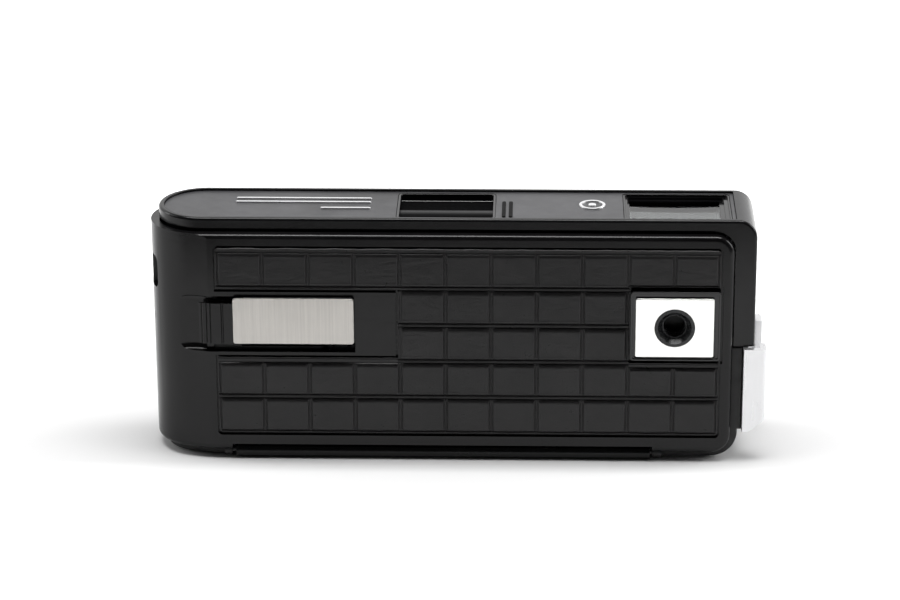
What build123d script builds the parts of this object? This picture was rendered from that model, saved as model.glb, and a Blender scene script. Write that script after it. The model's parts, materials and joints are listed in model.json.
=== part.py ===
from build123d import *
import math
import os

# Subminiature spy camera for 16 mm film, standing on its film door.
# Frame: +Z towards the subject (the lens looks up), -Y is the underside with the
# tripod socket and the advance slide, +Y is the top side with the release button,
# X runs along the body. Millimetres.

# ---------------------------------------------------------------- driving sizes
SHIFT_X = -1.7         # moves the working X zero to the middle of the overall length
SHIFT_Z = 0.7          # moves the working Z zero up to the lowest point of the door
BODY_R = 11.5          # half the body thickness
WALL = 1.5             # shell wall
BODY_XC = -54.5        # centre of the cavity's round end
END_XC, END_RO = -55.4, 10.7   # the shells' round end, blunter than the flats
END_X = -52.9          # where the flats stop
BODY_X1 = 62.0         # right end of the two shells
BODY_Z0 = 1.3          # rear edge of the shells
BODY_Z1 = 52.4         # front edge of the shells
HOOD_R = 9.3           # front hood: underside face, and half thickness of its arm
NECK_R = 8.7           # half thickness of its neck inside the shells
HOOD_XC = -54.6        # centre of the neck's round end
HOOD_RC, HOOD_YC = 10.2, 0.9   # half thickness and middle of the rim, wider toward the top side
HOOD_RX = -54.2        # centre of the rim's round end
HOOD_YB = HOOD_YC + HOOD_RC      # top side face of the rim
RIM_Z0 = 53.05         # underside of the rim
HOOD_X1 = 66.9         # right side of the hood's arm
HOOD_Z1 = 55.4         # foremost rim
HOOD_WALL = 1.2
ARM_X0 = 62.3          # inner side of the hood's arm
ARM_Z0 = 26.1          # cut end of the hood's arm
PLATE_Z0 = 54.0        # name plate, back
PLATE_Z1 = 54.9        # name plate, front
LENS_X = -0.95         # lens axis
WIN_LENS = (-11.2, 9.3, -6.9, 8.4)      # lens window: X from, X to, Y from, Y to
WIN_FIND = (39.3, 59.2, -6.0, 7.5)      # finder window
LEATHER_T = 0.8
LEATHER = (-51.2, 59.05, 5.85, 49.35)
NOTCH_A = (-11.4, 23.75, 39.9)    # leatherette left out around the slide: right edge, lower, upper
NOTCH_B = (39.2, 22.9, 40.7)      # and around the tripod socket: left edge, lower, upper
GRID_X0, GRID_Z0 = -50.95, 5.55   # sewn lines are counted from here
COLS, ROWS = 11, 5
PITCH_X, PITCH_Z = 10.0, 8.58
STROKE = 9.0           # film advance stroke
SLIDE = (-45.4, -20.95, 27.5, 38.05)   # advance slide carrier on the outside
TRIM = (-47.5, -21.0, 27.35, 37.95)
RIBS = (-55.1, 26.85, 36.4)       # stepped finger end of the slide: left end, lower, upper
POCKET = (-55.7, -35.1, 24.9, 38.0)   # recess in the shell that the stepped end runs in
GEAR_M = 0.6           # gear module
GEAR_N = 15
GEAR_R = GEAR_M * GEAR_N / 2
PINION_Z = 22.0
TAKEUP_Z = PINION_Z - 2 * GEAR_R
GEAR_X = -24.0
RACK_Z = PINION_Z + GEAR_R
CHAMBER_R = 7.6
SUPPLY_X = 22.0
SPLIT_Z = 21.1         # film chamber casting below, main frame above
DOOR = (-47.65, 44.3)   # rear door along X
STRAP_Z, STRAP_Y = (37.5, 44.9), (-5.7, -0.9)   # strap opening in the round end
REAR_Z = -0.7          # rear face of the door
HINGE_Y, HINGE_Z, HINGE_R = -10.0, 0.85, 1.55
TRIPOD_X, TRIPOD_Z = 49.2, 31.55
THREAD_MINOR_R = 2.55  # 1/4"-20 minor radius
BUTTON_X, BUTTON_Z = 30.0, 28.0
SHOE_Z = (6.2, 25.8)
SHOE_X = (64.5, 69.5)
SHOE_IN = 9.35         # half of the 18.7 mm wide slot for an 18.6 mm foot
OUT_Y = 12.9           # proudest face on each side

os.makedirs("parts", exist_ok=True)
NODES = {}


# ---------------------------------------------------------------- helpers
def bx(x0, x1, y0, y1, z0, z1):
    return Pos((x0 + x1) / 2, (y0 + y1) / 2, (z0 + z1) / 2) * Box(x1 - x0, y1 - y0, z1 - z0)


def cy(x, z, r, y0, y1):
    return Pos(x, (y0 + y1) / 2, z) * Rot(90, 0, 0) * Cylinder(r, y1 - y0)


def cz(x, y, r, z0, z1):
    return Pos(x, y, (z0 + z1) / 2) * Cylinder(r, z1 - z0)


def cx(y, z, r, x0, x1):
    return Pos((x0 + x1) / 2, y, z) * Rot(0, 90, 0) * Cylinder(r, x1 - x0)


def stadium(xc, x1, r, z0, z1):
    """Round at the left, square at the right, in plan."""
    return bx(xc, x1, -r, r, z0, z1) + cz(xc, 0, r, z0, z1)


def soft(shape, edges, r):
    """Round the edges, or leave them sharp where the radius does not fit."""
    try:
        out = fillet(edges, r)
        if out.is_valid and out.volume > 0:
            return out
    except Exception:
        pass
    return shape


def rbox(x0, x1, y0, y1, z0, z1, r, axis=Axis.Y):
    b = bx(x0, x1, y0, y1, z0, z1)
    return soft(b, b.edges().filter_by(axis), r)


def tooth_gear(xc, zc, y0, y1, first_deg):
    """Spur gear about Y with straight flanked teeth, first tooth at first_deg."""
    r_tip, r_root = GEAR_R + 0.45, GEAR_R - 0.62
    half = 0.37 * math.pi * GEAR_M / 2
    w_tip = (half - 0.45 * math.tan(math.radians(20))) / r_tip
    w_root = (half + 0.62 * math.tan(math.radians(20))) / r_root
    pts = []
    for i in range(GEAR_N):
        a = math.radians(first_deg + 360.0 * i / GEAR_N)
        for r, d in ((r_root, -w_root), (r_tip, -w_tip), (r_tip, w_tip), (r_root, w_root)):
            pts.append((r * math.cos(a + d), r * math.sin(a + d)))
    face = make_face(Polyline(*pts, close=True))
    return Pos(xc, y1, zc) * Rot(90, 0, 0) * extrude(face, y1 - y0)


def coil(r_mean, r_wire, length, turns):
    """Round wire coil along local Z from 0 to length, closed end to end."""
    path = Helix(pitch=length / turns, height=length, radius=r_mean)
    sec = Plane(origin=path @ 0, z_dir=path % 0) * Circle(r_wire)
    return sweep(sec, path=path)


# ---------------------------------------------------------------- body shells
def blunt(r_in, z0, z1):
    """Plan of the shells moved in by r_in: flats, a slight taper, and a round end tangent to it."""
    h, r = BODY_R - r_in, END_RO - r_in
    dx, dy = END_XC - END_X, -h
    d = math.hypot(dx, dy)
    a = math.atan2(dy, dx) - math.asin(r / d)
    run = math.sqrt(d * d - r * r)
    tx, ty = END_X + run * math.cos(a), h + run * math.sin(a)
    x1 = BODY_X1
    edges = [Line((END_X, h), (tx, ty)), ThreePointArc((tx, ty), (END_XC - r, 0), (tx, -ty)),
             Line((tx, -ty), (END_X, -h)), Line((END_X, -h), (x1, -h)), Line((x1, -h), (x1, h)), Line((x1, h), (END_X, h))]
    return Pos(0, 0, z0) * extrude(make_face(edges), z1 - z0)


env = blunt(0, BODY_Z0, BODY_Z1)
corner = [e for e in env.edges().filter_by(Axis.Y) if e.center().X > BODY_X1 - 0.1]
env = soft(env, corner, 4.2)
rim = [e for e in env.edges() if abs(e.center().Z - BODY_Z0) < 0.01 or abs(e.center().Z - BODY_Z1) < 0.01
       or (e.center().X > BODY_X1 - 4.3 and abs(abs(e.center().Y) - BODY_R) < 0.01)]
rim = [e for e in rim if abs(abs(e.center().Y) - BODY_R) < 0.01 or e.center().X < END_X]
env = soft(env, [e for e in rim if e.center().Z < BODY_Z1 - 0.1], 1.1)
env = soft(env, [e for e in env.edges() if abs(e.center().Z - BODY_Z1) < 0.01
                 and (abs(abs(e.center().Y) - BODY_R) < 0.01 or e.center().X < END_X)], 1.45)

inner = stadium(BODY_XC, BODY_X1 - WALL, BODY_R - WALL, BODY_Z0 + WALL, BODY_Z1 - WALL)
front_open = stadium(HOOD_XC, BODY_X1 + 1, HOOD_R + 0.3, BODY_Z1 - WALL - 0.1, BODY_Z1 + 1)
shell = env - inner - front_open
# local thickening behind the finger scoop
shell += bx(-61.0, -52.1, -10.4, -8.0, 22.5, 39.5) & blunt(0.5, 20, 42)
# opening for the rear door and its barrel, and for the two ends of the casting
GAP0, GAP1 = DOOR[0] - 0.85, DOOR[1] + 0.5
shell -= bx(GAP0, GAP1, -BODY_R - 1, BODY_R + 1, 0, 1.9)
shell -= bx(GAP0, GAP1, -9.9, 9.9, 0, 3.2)
shell -= bx(GAP0, GAP1, -BODY_R - 1, -8.0, 0, 2.75)
shell -= blunt(2.1, 0, 3.2) - bx(GAP0, GAP1, -12, 12, 0, 4) - bx(BODY_X1 - 4.1, 70, -12, 12, 0, 4)
shell -= cx(HINGE_Y, HINGE_Z, 1.2, DOOR[0] - 2.7, DOOR[1] + 2.7)
# eyepiece
shell -= bx(46.9, 55.3, -4.2, 4.2, 0, 3.2)
# strap recess in the round end
shell -= rbox(-68, -59.5, STRAP_Y[0], STRAP_Y[1] + 0.8, *STRAP_Z, 1.4, Axis.X)
under = shell & bx(-80, 80, -20, -0.02, -1, 60)
top = shell & bx(-80, 80, 0.02, 20, -1, 60)

# finger scoop at the round end, a dished cut down to the slide's ribs
scoop = Pos(-56.5, -17.45, 31.45) * Cylinder(8.0, 13.1)
scoop = soft(scoop, scoop.edges(), 1.5)
under -= scoop & bx(-70, -51.0, -20, -8.7, 20, 42)
under -= rbox(POCKET[0], POCKET[1], -12, -10.65, POCKET[2], POCKET[3], 0.6)
under -= bx(-45.5, -20.8, -12, -9.9, POCKET[2], SLIDE[2] + 0.4)   # opening below the slide
# narrow channel around the leatherette
lx0, lx1, lz0, lz1 = LEATHER
chan = rbox(lx0 - 0.4, lx1 + 0.4, -12, -10.75, lz0 - 0.9, lz1 + 0.4, 1.0) - rbox(lx0 + 0.15, lx1 - 0.15, -13, -10, lz0 + 0.15, lz1 - 0.15, 0.8)
chan -= bx(-60, -45, -13, -10, NOTCH_A[1] + 0.4, NOTCH_A[2] - 0.85)
chan -= bx(58, 61, -13, -10, NOTCH_B[1] + 0.7, NOTCH_B[2] - 0.8)
chan += bx(lx0 - 0.4, NOTCH_A[0] + 0.15, -12, -10.75, NOTCH_A[1] - 0.15, NOTCH_A[2] + 0.15) \
    - bx(-70, NOTCH_A[0] - 0.45, -13, -10, NOTCH_A[1] + 0.4, NOTCH_A[2] - 0.85)
chan += bx(NOTCH_B[0] - 0.15, 59.8, -12, -10.75, NOTCH_B[1] - 0.15, NOTCH_B[2] + 0.15) \
    - bx(NOTCH_B[0] + 0.4, 59.1, -13, -10, NOTCH_B[1] + 0.95, NOTCH_B[2] - 0.8)
under -= chan
# openings above and below the slide's stepped end
under -= bx(-53.6, -44.9, -12, -9.9, RIBS[2] + 0.35, POCKET[3]) + bx(-53.6, -44.9, -12, -9.9, POCKET[2], RIBS[1] - 0.35)
# slot for the advance slide's neck
under -= rbox(-43.5, -26.1, -12, -9.5, 29.7, 34.3, 0.6)
# tripod bush passage
under -= cy(TRIPOD_X, TRIPOD_Z, 4.5, -12, -9)

# top side openings: button, focus tab, aperture wheel, lens cover tab, counter window, latch
top -= cy(BUTTON_X, BUTTON_Z, 4.25, 9, 12)
top -= rbox(LENS_X - 7.2, LENS_X + 7.2, 9, 12, 29.0, 31.0, 0.4)
top -= rbox(LENS_X - 4.6, LENS_X + 4.6, 9, 12, 36.9, 40.1, 0.4)
top -= rbox(-5.2, 15.3, 9, 12, 48.3, 50.3, 0.4)
top -= cy(-43.0, 18.2, 1.85, 9, 12)
top -= rbox(16.8, 25.3, 9, 12, 2.9, 4.7, 0.3)

# ---------------------------------------------------------------- front hood
def rim_plan(r_in, x1, z0, z1):
    return Pos(0, HOOD_YC, 0) * stadium(HOOD_RX, x1, HOOD_RC - r_in, z0, z1)


hood = stadium(HOOD_XC, 60.2, NECK_R, 48.5, RIM_Z0 + 0.2) + rim_plan(0, 60.2, RIM_Z0, HOOD_Z1)
hood += bx(60.0, HOOD_X1, -HOOD_R, HOOD_YB, BODY_Z1 - 1.2, HOOD_Z1)
hood += bx(ARM_X0, 64.3, -HOOD_R, HOOD_YB, ARM_Z0, HOOD_Z1)
hood += bx(64.2, HOOD_X1, -HOOD_R, HOOD_YB, SHOE_Z[1] + 0.3, HOOD_Z1)
hood = soft(hood, [e for e in hood.edges().filter_by(Axis.Y) if e.center().X > HOOD_X1 - 0.1 and e.center().Z > 55], 4.2)
hood = soft(hood, [e for e in hood.edges() if e.center().X > HOOD_X1 - 4.3 and e.center().X > 65.5
                   and (abs(e.center().Y + HOOD_R) < 0.01 or abs(e.center().Y - HOOD_YB) < 0.01)], 0.6)
hood = soft(hood, [e for e in hood.edges() if e.center().Z > HOOD_Z1 - 0.01], 0.35)
hood -= stadium(HOOD_XC, 61.0, 8.1, 48, 53.4)
hood -= bx(60.9, 64.9, -8.1, 8.1, 27.5, 50.0)
hood -= rim_plan(HOOD_WALL, 62.4, PLATE_Z0, 60)
hood -= rbox(-11.75, 9.85, -7.4, 8.9, 52, 56, 1.2, Axis.Z)
hood -= rbox(37.9, 61.5, -7.7, 9.3, 51.85, 56, 0.9, Axis.Z)
hood -= bx(-12.9, 24.0, -7.9, 8.95, 52.3, 53.4)          # room for the lens cover's blade
hood -= bx(-6.0, 21.0, 7.5, 10, 48, 50.9)            # passage of the lens cover's tab
# the shells' front corner passes under the hood
hood -= bx(59.9, 62.2, -12, 12, 45, BODY_Z1 + 0.2) - bx(59.9, 60.2, -NECK_R, NECK_R, 45, 60)
# rounded inner corner, concentric with the shells' corner
hood += bx(BODY_X1 - 4.2, 62.4, -HOOD_R, HOOD_YB, BODY_Z1 - 4.2, RIM_Z0 + 0.2) - cy(BODY_X1 - 4.2, BODY_Z1 - 4.2, 4.6, -15, 15) \
    - bx(37.9, 61.5, -7.7, 9.3, 50, 56)
NODES["front_hood"] = hood

plate = rim_plan(HOOD_WALL + 0.1, 62.3, PLATE_Z0, PLATE_Z1)
plate -= rbox(-11.85, 9.95, -7.45, 8.95, 50, 60, 1.2, Axis.Z)
plate -= rbox(37.85, 61.55, -7.75, 9.35, 50, 60, 0.9, Axis.Z)
NODES["name_plate"] = plate

# ---------------------------------------------------------------- windows
bezel = rbox(-11.75, 9.85, -7.35, 8.85, 53.4, PLATE_Z1, 1.15, Axis.Z)
bezel -= rbox(*WIN_LENS, 50, 60, 0.9, Axis.Z)
bezel += bx(WIN_LENS[0] - 0.05, WIN_LENS[1] + 0.05, -6.95, -4.9, 53.4, 53.75)      # ledge against stray light
bezel = soft(bezel, [e for e in bezel.edges() if e.center().Z > PLATE_Z1 - 0.01], 0.15)
NODES["lens_bezel"] = bezel

fb = rbox(37.95, 61.45, -7.65, 9.25, 51.9, PLATE_Z1, 0.9, Axis.Z)
fb -= rbox(38.4, 61.05, -6.9, 8.9, 54.35, 60, 0.8, Axis.Z)
fb -= rbox(38.85, 60.2, -6.5, 8.4, 53.8, 60, 0.6, Axis.Z)
fb -= bx(*WIN_FIND, 50, 60)
fb = soft(fb, [e for e in fb.edges() if e.center().Z > PLATE_Z1 - 0.01], 0.12)
NODES["finder_bezel"] = fb
fl = bx(*WIN_FIND, 52.0, 53.5)
fl -= Pos((WIN_FIND[0] + WIN_FIND[1]) / 2, HOOD_YC, 53.5 + 349.8) * Sphere(350.0)
NODES["finder_front_lens"] = fl
tube = bx(38.8, 59.4, -6.6, 6.6, 8.0, 51.8) - bx(39.5, 58.7, -5.9, 5.9, 7, 52)
NODES["finder_tube"] = tube
eb = rbox(46.95, 55.25, -4.15, 4.15, -0.3, 7.9, 0.6, Axis.Z) - bx(47.9, 54.3, -3.2, 3.2, -1, 8)
NODES["eyepiece_bezel"] = eb
NODES["eyepiece_lens"] = bx(47.9, 54.3, -3.2, 3.2, 2.2, 4.0)

# lens cover: a glossy flat blade that slides behind the window, with a finger tab
blade = rbox(-12.6, 11.4, -7.6, 8.75, 52.4, 53.1, 1.0, Axis.Z)
tab = bx(-4.4, 2.5, 6.8, OUT_Y, 48.9, 49.7)
tab += bx(-4.4, 2.5, 6.8, 7.6, 48.9, 52.5)
for k in range(4):
    tab -= bx(-3.9 + 1.7 * k, -3.2 + 1.7 * k, OUT_Y - 0.3, OUT_Y + 1, 48, 50)
cover = blade + tab
NODES["lens_cover"] = cover

# ---------------------------------------------------------------- main frame and film chamber
core = stadium(BODY_XC, 60.4, BODY_R - WALL - 0.1, 2.85, 48.4) & bx(-52, 61, -12, 12, 2, 50)
frame = core & bx(-80, 80, -20, 20, SPLIT_Z, 60)
chamber = core & bx(-80, 80, -20, 20, 0, SPLIT_Z)
ends = blunt(2.2, -0.3, 2.9) - bx(GAP0 - 0.1, GAP1 + 0.1, -12, 12, -1, 4) - bx(BODY_X1 - 4.25, 70, -12, 12, -1, 4)
lug0 = cx(HINGE_Y, HINGE_Z, 1.1, DOOR[0] - 2.6, GAP0 - 0.1)
lug1 = cx(HINGE_Y, HINGE_Z, 1.1, GAP1 + 0.1, DOOR[1] + 2.6)
ends -= bx(46.9, 55.3, -4.2, 4.2, -1, 4)
tunnel = bx(LENS_X - 7, LENS_X + 7, -5, 5, 3, 24.0)
gear_bay = cy(GEAR_X, PINION_Z, 5.3, -11, -8.4) + cy(GEAR_X, TAKEUP_Z, 5.3, -11, -8.4)
slide_bay = bx(-46, -12.8, -11, -8.4, 25.6, 36.8) + bx(-51.2, -27.5, -11, -8.4, 36.7, 39.3)
finder_bay = bx(38.75, 59.45, -6.65, 6.65, 0, 60)
frame -= tunnel + gear_bay + slide_bay + finder_bay
frame -= bx(-12, 10.2, -8.2, 11, 24.0, 31.2)                 # shutter bay, open to the top side
frame -= cz(LENS_X, 0, 6.0, 31, 34)                          # lens seat
frame -= bx(-12, 10.2, -8.8, 11, 33.2, 50)                   # focus bay
frame -= bx(8, 35, -4.2, 11, 26.6, 31.2)                     # release lever bay
frame -= bx(-50, -34, -7.0, 11, 24, 46.5)                    # lightening pockets
frame -= bx(12.5, 36.5, -8.0, 11, 33.2, 46.5)
frame -= cy(TRIPOD_X, TRIPOD_Z, 4.6, -11, -7.2)
for cxx in (GEAR_X, SUPPLY_X):
    chamber -= cy(cxx, TAKEUP_Z, CHAMBER_R, -7.7, 11)
    chamber -= bx(cxx - CHAMBER_R, cxx + CHAMBER_R, -7.7, 11, 0, TAKEUP_Z)
chamber -= tunnel + gear_bay + finder_bay
chamber -= bx(GEAR_X, SUPPLY_X, -7.7, 11, 0, 4.9)            # film channel
chamber -= bx(GAP0 - 0.1, GAP1 + 0.1, -12, -7.9, 0, 3.6)                  # room for the hinge barrel
chamber -= cy(-43.0, 14.0, 6.5, 6.8, 11)                     # counter dial
chamber -= cy(-43.0, 14.0, 3.5, -11, -8.4)
chamber -= cy(-43.0, 14.0, 0.86, -10, 10)
chamber -= cy(GEAR_X, TAKEUP_Z, 1.25, -10, -7)
chamber -= bx(16.0, 26.0, 8.6, 11, 0, 5.2)                   # door latch
frame -= cy(GEAR_X, PINION_Z, 0.8, -10, -6.4)
chamber -= cy(GEAR_X, PINION_Z, 0.8, -10, -6.4)
frame -= cy(BUTTON_X, BUTTON_Z, 4.4, 8.0, 11)
frame -= cy(BUTTON_X, BUTTON_Z, 2.6, 4.0, 11)

# ---------------------------------------------------------------- film advance
car = rbox(SLIDE[0], SLIDE[1], -12.3, -11.62, SLIDE[2], SLIDE[3], 0.6)
car = soft(car, [e for e in car.edges() if e.center().Y < -12.29], 0.25)
steps = [(0.0, -10.9), (0.0, -11.12)]
for u, v, y in ((0.0, 0.62, -11.3), (0.62, 1.66, -11.5), (1.66, 2.52, -11.72), (2.52, 5.0, -11.95)):   # steps for the finger
    steps += [(u + 0.26, y), (v - 0.12, y), (v, y + 0.07)]
steps[-1] = (5.0, -11.82)
steps += [(5.0, -11.45), (5.3, -11.45), (5.3, -11.8), (5.45, -11.95), (7.2, -11.95), (7.2, -10.9)]
car += Pos(0, 0, RIBS[1]) * extrude(make_face(Polyline(*[(RIBS[0] + u, y) for u, y in steps], close=True)), RIBS[2] - RIBS[1])
car += bx(RIBS[0] + 7.0, -44.4, -11.95, -10.9, RIBS[1], RIBS[2])
car += bx(-43.2, -35.4, -11.7, -9.6, 30.0, 34.0)
car += bx(-43.2, -23.2, -9.7, -8.7, RACK_Z + 0.6, 36.5)
car += bx(-39.2, -38.2, -9.7, -8.7, 36.4, 38.8)
half = 0.37 * math.pi * GEAR_M / 2
for k in range(-6, 1):
    x = GEAR_X + k * math.pi * GEAR_M
    w0 = half + 0.62 * math.tan(math.radians(20))
    w1 = half - 0.45 * math.tan(math.radians(20))
    f = make_face(Polyline((x - w0, RACK_Z + 0.62), (x - w1, RACK_Z - 0.45), (x + w1, RACK_Z - 0.45),
                           (x + w0, RACK_Z + 0.62), close=True))
    car += Pos(0, -8.7, 0) * Rot(90, 0, 0) * extrude(f, 1.0)
NODES["advance_slide_carrier"] = car
trim = rbox(TRIM[0], TRIM[1], -OUT_Y, -12.3, TRIM[2], TRIM[3], 0.5)
trim = soft(trim, [e for e in trim.edges() if e.center().Y < -OUT_Y + 0.01], 0.15)
NODES["advance_slide_trim"] = trim
spring = Pos(-50.6, -9.15, 38.0) * Rot(0, 90, 0) * coil(0.48, 0.13, 11.2, 12)
NODES["advance_return_spring"] = spring

pinion = tooth_gear(GEAR_X, PINION_Z, -9.6, -8.7, 90 + 180 / GEAR_N) - cy(GEAR_X, PINION_Z, 0.85, -10, -8)
NODES["drive_pinion"] = pinion
NODES["pinion_stud"] = cy(GEAR_X, PINION_Z, 0.8, -9.8, -6.4)
key = tooth_gear(GEAR_X, TAKEUP_Z, -9.6, -8.7, 90 + 180 / GEAR_N)
key += cy(GEAR_X, TAKEUP_Z, 1.2, -8.8, -5.4)
key += bx(GEAR_X - 2.6, GEAR_X + 2.6, -6.9, -5.4, TAKEUP_Z - 0.45, TAKEUP_Z + 0.45)
NODES["take_up_key"] = key

dial = cy(-43.0, 14.0, 6.0, 8.4, 9.2) + cy(-43.0, 14.0, 0.8, -9.5, 8.5)
dial += cy(-43.0, 14.0, 3.1, -9.6, -8.7)
for k in range(20):
    a = math.radians(18 * k)
    dial -= cy(-43.0 + 3.1 * math.cos(a), 14.0 + 3.1 * math.sin(a), 0.28, -10, -8)
    dial -= cy(-43.0 + 4.2 * math.cos(a), 14.0 + 4.2 * math.sin(a), 0.22, 9.0, 10)
NODES["counter_dial"] = dial
NODES["counter_window"] = cy(-43.0, 18.2, 1.85, 10.4, 11.6)

# ---------------------------------------------------------------- release and shutter
btn = cy(BUTTON_X, BUTTON_Z, 4.1, 10.9, OUT_Y)
btn = soft(btn, [e for e in btn.edges() if e.center().Y > OUT_Y - 0.01], 0.6)
btn += cy(BUTTON_X, BUTTON_Z, 1.2, 0.4, 11.0)
btn -= cy(BUTTON_X, BUTTON_Z, 0.9, OUT_Y - 0.8, OUT_Y + 1)
NODES["release_button"] = btn
NODES["release_spring"] = Pos(BUTTON_X, 10.6, BUTTON_Z) * Rot(90, 0, 0) * coil(1.85, 0.2, 6.4, 5)
LEV_X, LEV_Y = 19.0, -1.0
lev = bx(9.0, 31.5, -1.6, -0.4, 27.4, 28.6) + cz(LEV_X, LEV_Y, 1.9, 27.4, 28.6)
lev -= cz(LEV_X, LEV_Y, 1.05, 20, 40)
lev = Pos(0, 0.65, 0) * lev
NODES["release_lever"] = lev
NODES["lever_pivot_pin"] = cz(LEV_X, LEV_Y + 0.65, 1.0, 25.4, 31.2)
frame -= cz(LEV_X, LEV_Y + 0.65, 1.0, 25.4, 28)

P1 = (LENS_X - 4.55, -6.0)
P2 = (LENS_X + 4.55, -6.0)
sb = bx(-11.9, 10.1, -8.1, 9.8, 24.0, 25.0) - cz(LENS_X, 0, 3.2, 20, 30)
for p in (P1, P2):
    sb += cz(p[0], p[1], 0.6, 24.9, 28.2)
NODES["shutter_base"] = sb


def blade_shape(p, c, z0, z1):
    b = cz(c[0], c[1], 3.4, z0, z1) + cz(p[0], p[1], 1.4, z0, z1)
    dx, dy = c[0] - p[0], c[1] - p[1]
    n = math.hypot(dx, dy)
    arm = Pos((p[0] + c[0]) / 2, (p[1] + c[1]) / 2, (z0 + z1) / 2) * Rot(0, 0, math.degrees(math.atan2(dy, dx))) * Box(n, 2.2, z1 - z0)
    return (b + arm) - cz(p[0], p[1], 0.66, 20, 30)


NODES["shutter_blade_left"] = blade_shape(P1, (LENS_X - 1.05, 0), 25.3, 25.6)
NODES["shutter_blade_right"] = blade_shape(P2, (LENS_X + 1.05, 0), 25.9, 26.2)

# aperture wheel: its knurled rim stands out of the top side
AP_R, AP_Y = 8.2, OUT_Y - 8.2 - 0.1
wheel = cz(LENS_X, AP_Y, AP_R, 29.5, 30.5)
for k in range(48):
    a = math.radians(7.5 * k)
    wheel -= cz(LENS_X + AP_R * math.cos(a), AP_Y + AP_R * math.sin(a), 0.22, 29, 31)
for k, r in enumerate((2.4, 1.7, 1.2, 0.8)):
    a = math.radians(-90 - 90 * k)
    wheel -= cz(LENS_X + AP_Y * math.cos(a), AP_Y + AP_Y * math.sin(a), r, 29, 31)
wheel -= cz(LENS_X, AP_Y, 0.86, 29, 31)
NODES["aperture_wheel"] = wheel
NODES["aperture_pin"] = cz(LENS_X, AP_Y, 0.8, 27.2, 31.0)
# cover over the blades; it carries the aperture wheel's pin
sc_plate = bx(-11.9, 7.4, -8.1, 9.8, 27.2, 28.4) - cz(LENS_X, 0, 2.9, 20, 30) - cz(LENS_X, AP_Y, 0.8, 20, 30)
for p in (P1, P2):
    sc_plate -= cz(p[0], p[1], 0.6, 20, 30)
NODES["shutter_cover"] = sc_plate

barrel = cz(LENS_X, 0, 5.95, 31.4, 47.6) - cz(LENS_X, 0, 4.6, 30, 48)
barrel += (cz(LENS_X, 0, 6.6, 33.25, 34.6) - cz(LENS_X, 0, 5.0, 33, 36))
NODES["lens_barrel"] = barrel
front = cz(LENS_X, 0, 4.6, 44.4, 46.0)
front += (Pos(LENS_X, 0, 46.0 - 8.6) * Sphere(9.3)) & cz(LENS_X, 0, 4.6, 45.9, 48)
NODES["front_lens_element"] = front
NODES["rear_lens_element"] = cz(LENS_X, 0, 4.6, 34.0, 36.2)
ring = cz(LENS_X, 0, 7.8, 37.3, 39.7) - cz(LENS_X, 0, 6.0, 36, 41)
for k in range(40):
    a = math.radians(9 * k)
    if math.sin(a) < 0.85:
        ring -= cz(LENS_X + 7.8 * math.cos(a), 7.8 * math.sin(a), 0.25, 36, 41)
ring += bx(LENS_X - 1.3, LENS_X + 1.3, 7.0, OUT_Y - 0.3, 37.5, 39.5)
NODES["focus_ring"] = ring

# ---------------------------------------------------------------- rear door
door = bx(DOOR[0], DOOR[1], -9.0, BODY_R, REAR_Z, 1.6)
door = soft(door, [e for e in door.edges().filter_by(Axis.X) if e.center().Y > 11 and e.center().Z < 0.1], 1.2)
door += cx(HINGE_Y, HINGE_Z, HINGE_R, DOOR[0], DOOR[1])
door -= cx(HINGE_Y, HINGE_Z, 0.65, -60, 60)
door -= bx(-30, 30, 4.0, 6.0, -1, REAR_Z + 0.5)                        # thumb groove
NODES["rear_door"] = door
pin_x0, pin_x1 = DOOR[0] - 1.8, DOOR[1] + 1.8
NODES["hinge_pin"] = cx(HINGE_Y, HINGE_Z, 0.6, pin_x0, pin_x1)
pp = rbox(LENS_X - 9.5, LENS_X + 9.5, -6.6, 8.4, 3.9, 4.7, 1.0, Axis.Z)
NODES["pressure_plate"] = pp
ps = None
for s in (-1, 1):
    leg = Pos(LENS_X + s * 4.0, 0.9, 1.82) * coil(1.6, 0.18, 1.85, 2)
    ps = leg if ps is None else ps + leg
NODES["pressure_springs"] = ps
gate = bx(GEAR_X + 8.2, SUPPLY_X - 8.2, -7.6, 9.8, 4.9, 5.6)
gate -= bx(LENS_X - 7, LENS_X + 7, -5, 5, 4, 6)
NODES["film_gate"] = gate
chamber -= bx(GEAR_X + 8.2, SUPPLY_X - 8.2, -7.6, 9.8, 4.8, 5.6)
latch = rbox(17.0, 22.6, 11.62, 12.3, 2.2, 5.4, 0.4)
for k in range(4):
    latch -= bx(17.9 + 1.1 * k, 18.4 + 1.1 * k, 12.05, 13, 0, 6)
latch += bx(18.2, 21.4, 9.4, 11.7, 3.2, 4.4)
latch += bx(17.4, 22.2, 9.2, 9.8, 3.0, 4.9)
NODES["door_latch"] = latch

# ---------------------------------------------------------------- tripod socket
tf = rbox(39.5, 59.2, -12.5, -11.5, 23.75, 39.95, 0.7)
tf -= rbox(40.0, 58.75, -13, -12.2, 24.25, 39.35, 0.5)
tf -= rbox(40.3, 58.1, -13, -11.8, 24.4, 38.8, 0.4)
tf -= cy(TRIPOD_X, TRIPOD_Z, 4.6, -13, -11)
tf = soft(tf, [e for e in tf.edges() if e.center().Y < -12.49], 0.15)
NODES["tripod_frame"] = tf
tp = rbox(40.62, 57.78, -12.6, -11.8, 24.68, 38.42, 0.4)
tp = soft(tp, [e for e in tp.edges() if e.center().Y < -12.59], 0.2)
tp -= cy(TRIPOD_X, TRIPOD_Z, 4.45, -13, -11)
NODES["tripod_plate"] = tp
bush = cy(TRIPOD_X, TRIPOD_Z, 4.4, -12.7, -7.3)
bush -= cy(TRIPOD_X, TRIPOD_Z, THREAD_MINOR_R, -13, -7)
bush -= Pos(TRIPOD_X, -12.05, TRIPOD_Z) * Rot(90, 0, 0) * Cone(THREAD_MINOR_R + 0.1, 3.7, 1.31)
NODES["tripod_bush"] = bush

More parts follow.
